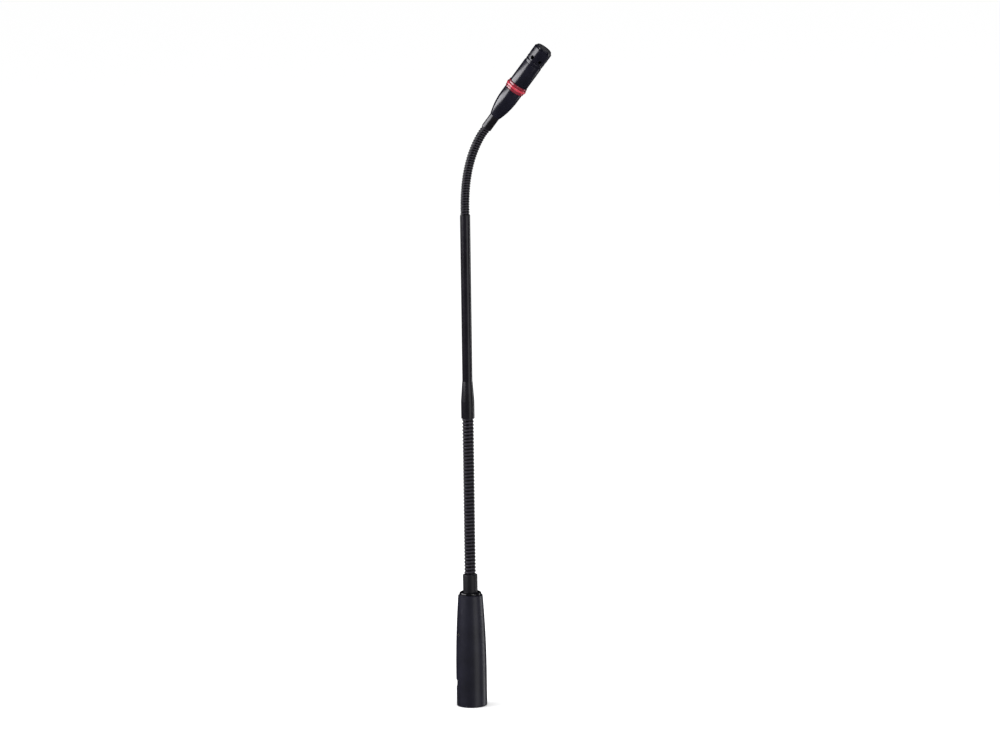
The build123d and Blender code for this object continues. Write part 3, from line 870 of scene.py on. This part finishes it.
# ---- stage: floor, light and camera ------------------------------------------------------------

camera_azimuth = -4.0
camera_distance = 2.920
camera_height = 0.675
aim_side = 0.0204
aim_height = 0.2067
focal_mm = 173.4
sensor_mm = 36.0
camera_roll = -0.75
camera_shift = 0.00055


def from_camera(azimuth, elevation, distance, height):
    """Point at a distance from the plug's axis at a height, azimuth degrees right of the camera."""
    turn = radians(camera_azimuth + azimuth)
    flat = cos(radians(elevation)) * distance
    return Vector((sin(turn) * flat, -cos(turn) * flat, height + sin(radians(elevation)) * distance))


def camera():
    turn = radians(camera_azimuth)
    side = Vector((cos(turn), sin(turn), 0))
    place = Vector((sin(turn) * camera_distance, -cos(turn) * camera_distance, camera_height))
    forward = (side * aim_side + UP * aim_height - place).normalized()
    level = forward.cross(UP).normalized()
    upward = level.cross(forward)
    roll = radians(camera_roll)
    right = level * cos(roll) + upward * sin(roll)
    top = upward * cos(roll) - level * sin(roll)
    data = bpy.data.cameras.new("camera")
    data.lens = focal_mm
    data.sensor_width = sensor_mm
    data.shift_x = -camera_shift
    holder = bpy.data.objects.new("camera", data)
    holder.matrix_world = Matrix.Translation(place) @ Matrix((right, top, -forward)).transposed().to_4x4()
    bpy.context.scene.collection.objects.link(holder)
    bpy.context.scene.camera = holder


def softbox(name, place, target, width, height, radiance, colour=(1, 1, 1)):
    """Rectangular light that faces target, with its height upright."""
    data = bpy.data.lights.new(name, "AREA")
    data.shape = "RECTANGLE"
    data.size = width
    data.size_y = height
    data.energy = radiance * pi * width * height
    data.color = colour
    lamp = bpy.data.objects.new(name, data)
    back = (place - target).normalized()
    across = UP.cross(back).normalized()
    facing = Matrix((across, back.cross(across), back)).transposed().to_4x4()
    lamp.matrix_world = Matrix.Translation(place) @ facing
    bpy.context.scene.collection.objects.link(lamp)


def lighting():
    head_height = head_start.z
    head_aim = Vector((0, 0, head_height))
    middle_aim = Vector((0, 0, 0.2))
    low_aim = Vector((0, 0, 0.15))
    softbox(
        "left_softbox", from_camera(-84, 14, 1.5, head_height), head_aim,
        width=1.9, height=0.56, radiance=8.2, colour=(0.97, 0.96, 1.0),
    )
    softbox(
        "front_softbox", from_camera(29, 27, 1.6, 0.25), middle_aim,
        width=0.65, height=0.5, radiance=6.5,
    )
    softbox(
        "right_card", from_camera(44, 0, 1.5, 0.0), low_aim,
        width=0.9, height=1.3, radiance=1.0,
    )
    softbox(
        "right_rim", from_camera(112, 0, 1.5, -0.1), low_aim,
        width=0.35, height=1.5, radiance=3.0,
    )
    world = bpy.data.worlds.new("studio")
    world.use_nodes = True
    background = world.node_tree.nodes["Background"]
    background.inputs["Color"].default_value = (1, 1, 1, 1)
    background.inputs["Strength"].default_value = 1.1
    world.cycles_visibility.glossy = False
    bpy.context.scene.world = world
    bpy.context.scene.view_settings.view_transform = "Standard"


def floor():
    """Pale floor that takes the shadow and stays out of the reflections."""
    half = 6.0
    mesh = bpy.data.meshes.new("floor")
    corners = [(-half, -half, 0), (half, -half, 0), (half, half, 0), (-half, half, 0)]
    mesh.from_pydata(corners, [], [(0, 1, 2, 3)])
    plane = bpy.data.objects.new("floor", mesh)
    shader = Shader("floor_paper", (0.9, 0.9, 0.9), 0.9, Specular_IOR_Level=0.0)
    fibre = shader.noise(300, detail=4)
    shader.colour(shader.mix(shader.ramp(fibre, 0, 1), (0.89, 0.89, 0.89), (0.91, 0.91, 0.91)))
    mesh.materials.append(shader.material)
    bpy.context.scene.collection.objects.link(plane)
    plane.visible_glossy = False
    plane.visible_shadow = False


gland_and_collar()
plug_cable()
lower_neck()
stem()
upper_neck()
head_housings()
light_ring()
grille()
head_cable()
floor()
camera()
lighting()
